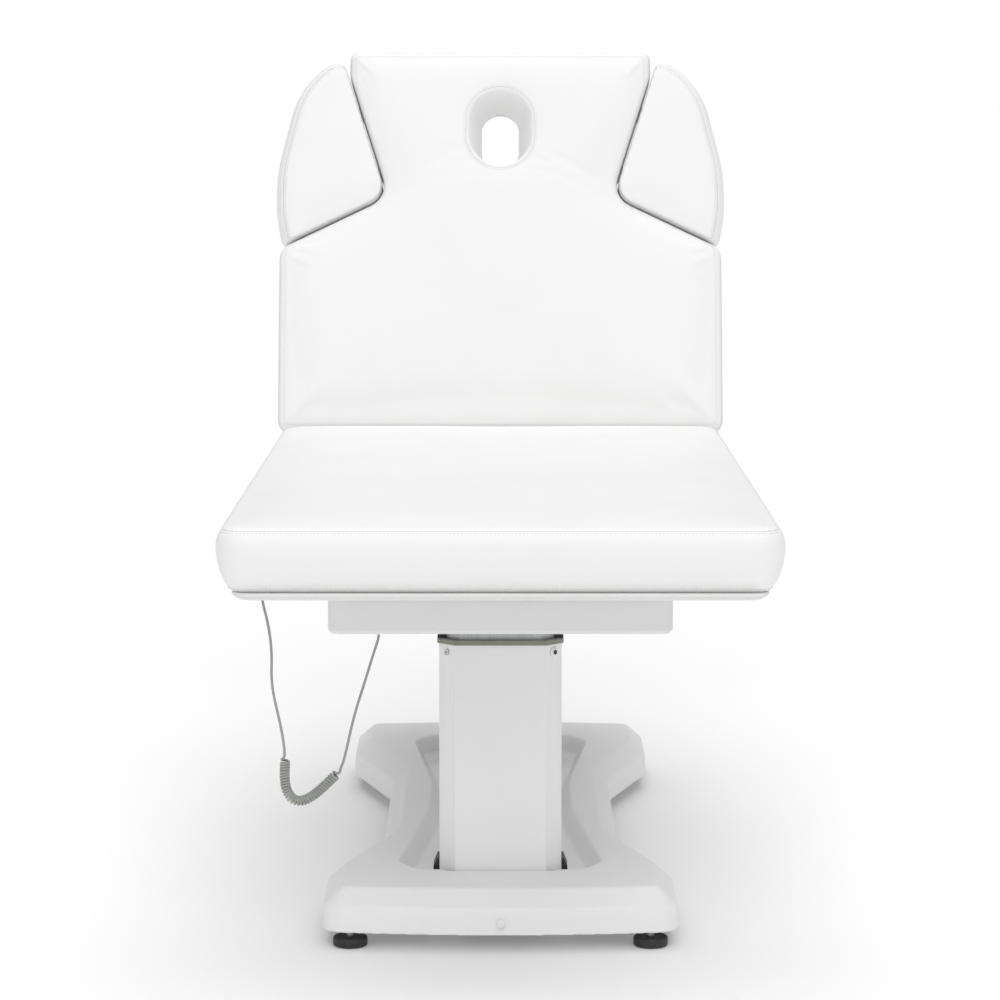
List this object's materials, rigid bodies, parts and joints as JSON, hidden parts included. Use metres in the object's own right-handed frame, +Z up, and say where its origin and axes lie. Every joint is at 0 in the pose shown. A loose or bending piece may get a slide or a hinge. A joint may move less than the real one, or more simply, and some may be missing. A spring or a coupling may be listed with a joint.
{
  "type": "electric facial treatment bed",
  "caption": "Two-section electric treatment bed on twin lift columns, with a tilting backrest, breathing hole, fold-back side wings and a curly-cord handset.",
  "frame": {"origin": "on the floor, under the middle of the bed's own width and length at rest", "axes": "+Z up, +Y from the foot end towards the head end, +X to the right as seen from the foot end"},
  "size_m": [0.7158, 1.5346, 1.1885],
  "materials": {
    "upholstery": "white synthetic leather, fine grain, semi-matt",
    "plywood": "birch plywood, edge covered with white vinyl",
    "frame_paint": "light grey powder coat",
    "column_paint": "fine satin light grey paint",
    "inner_aluminium": "satin anodised",
    "cover_plastic": "light warm grey moulded plastic",
    "sheet_cover": "white-grey powder coat",
    "collar_plastic": "olive grey moulded plastic",
    "black_plastic": "black nylon",
    "foot_rubber": "black rubber",
    "zinc_steel": "zinc plated",
    "motor_black": "black motor housing",
    "handset_plastic": "light grey handset shell",
    "button_plastic": "dark grey buttons",
    "circuit_board": "green circuit board",
    "cord_pvc": "grey-green soft PVC cord",
    "cap_plastic": "white plastic cap"
  },
  "bodies": {
    "base": {"base_cover": "cover_plastic", "base_rails": "frame_paint", "base_crossbars": "frame_paint", "column_base_plates": "frame_paint", "levelling_feet": "foot_rubber", "foot_studs": "zinc_steel", "foot_locknuts": "zinc_steel", "front_column_sleeve": "column_paint", "rear_column_sleeve": "column_paint", "column_collars": "collar_plastic", "glide_blocks": "black_plastic", "sleeve_screws": "zinc_steel", "cover_screw_caps": "cap_plastic", "lift_motors": "motor_black", "power_supply": "motor_black", "mains_inlet": "black_plastic"},
    "lift": {"front_inner_tube": "inner_aluminium", "rear_inner_tube": "inner_aluminium", "column_head_plates": "frame_paint", "lift_rods": "zinc_steel", "lift_rails": "frame_paint", "lift_crossbars": "frame_paint", "under_frame_cover": "sheet_cover", "frame_lid": "sheet_cover", "seat_side_rails": "frame_paint", "seat_crossbars": "frame_paint", "seat_board": "plywood", "seat_cushion": "upholstery", "control_box": "motor_black", "handset_holder": "zinc_steel", "handset_front_shell": "handset_plastic", "handset_back_shell": "handset_plastic", "handset_circuit_board": "circuit_board", "handset_cord_left": "cord_pvc", "handset_cord_coil": "cord_pvc", "handset_cord_right": "cord_pvc", "handset_strain_relief": "cord_pvc", "cord_gland": "black_plastic", "hinge_brackets": "frame_paint", "hinge_pins": "zinc_steel", "backrest_motor": "motor_black"},
    "backrest": {"backrest_board": "plywood", "backrest_cushion": "upholstery", "backrest_rails": "frame_paint", "backrest_crossbars": "frame_paint", "hinge_leaves": "frame_paint", "backrest_lever": "frame_paint", "wing_hinge_leaves": "zinc_steel"},
    "push_rod": {"push_rod": "inner_aluminium", "push_pin": "zinc_steel"},
    "wing_left": {"wing_cushion_left": "upholstery", "wing_board_left": "plywood", "wing_hinge_left": "zinc_steel"},
    "wing_right": {"wing_cushion_right": "upholstery", "wing_board_right": "plywood", "wing_hinge_right": "zinc_steel"},
    "button_bed_up": {"button_bed_up": "button_plastic"},
    "button_bed_down": {"button_bed_down": "button_plastic"},
    "button_back_up": {"button_back_up": "button_plastic"},
    "button_back_down": {"button_back_down": "button_plastic"}
  },
  "joints": [
    {"name": "bed_lift", "type": "slide", "parent": "base", "child": "lift", "axis": [0, 0, 1], "range_m": [0, 0.24]},
    {"name": "backrest_tilt", "type": "hinge", "parent": "lift", "child": "backrest", "pos_m": [0, 0.5065, 0.58], "axis": [1, 0, 0], "range_deg": [-75, 0]},
    {"name": "push_rod_slide", "type": "slide", "parent": "lift", "child": "push_rod", "axis": [0, 1, 0], "range_m": [-0.148, 0]},
    {"name": "wing_fold_left", "type": "hinge", "parent": "backrest", "child": "wing_left", "pos_m": [-0.18191, 0.67928, 0.93891], "axis": [0.2991, -0.247, -0.9217], "range_deg": [0, 90]},
    {"name": "wing_fold_right", "type": "hinge", "parent": "backrest", "child": "wing_right", "pos_m": [0.18191, 0.67928, 0.93891], "axis": [0.2991, 0.247, 0.9217], "range_deg": [0, 90]},
    {"name": "press_bed_up", "type": "slide", "parent": "lift", "child": "button_bed_up", "axis": [1, 0, 0], "range_m": [0, 0.0012], "stiffness_N_per_m": 1500, "springref_m": -0.0004},
    {"name": "press_bed_down", "type": "slide", "parent": "lift", "child": "button_bed_down", "axis": [1, 0, 0], "range_m": [0, 0.0012], "stiffness_N_per_m": 1500, "springref_m": -0.0004},
    {"name": "press_back_up", "type": "slide", "parent": "lift", "child": "button_back_up", "axis": [1, 0, 0], "range_m": [0, 0.0012], "stiffness_N_per_m": 1500, "springref_m": -0.0004},
    {"name": "press_back_down", "type": "slide", "parent": "lift", "child": "button_back_down", "axis": [1, 0, 0], "range_m": [0, 0.0012], "stiffness_N_per_m": 1500, "springref_m": -0.0004}
  ],
  "couplings": [
    {"joint": "push_rod_slide", "follows": "backrest_tilt", "m_per_rad": 0.1127}
  ]
}
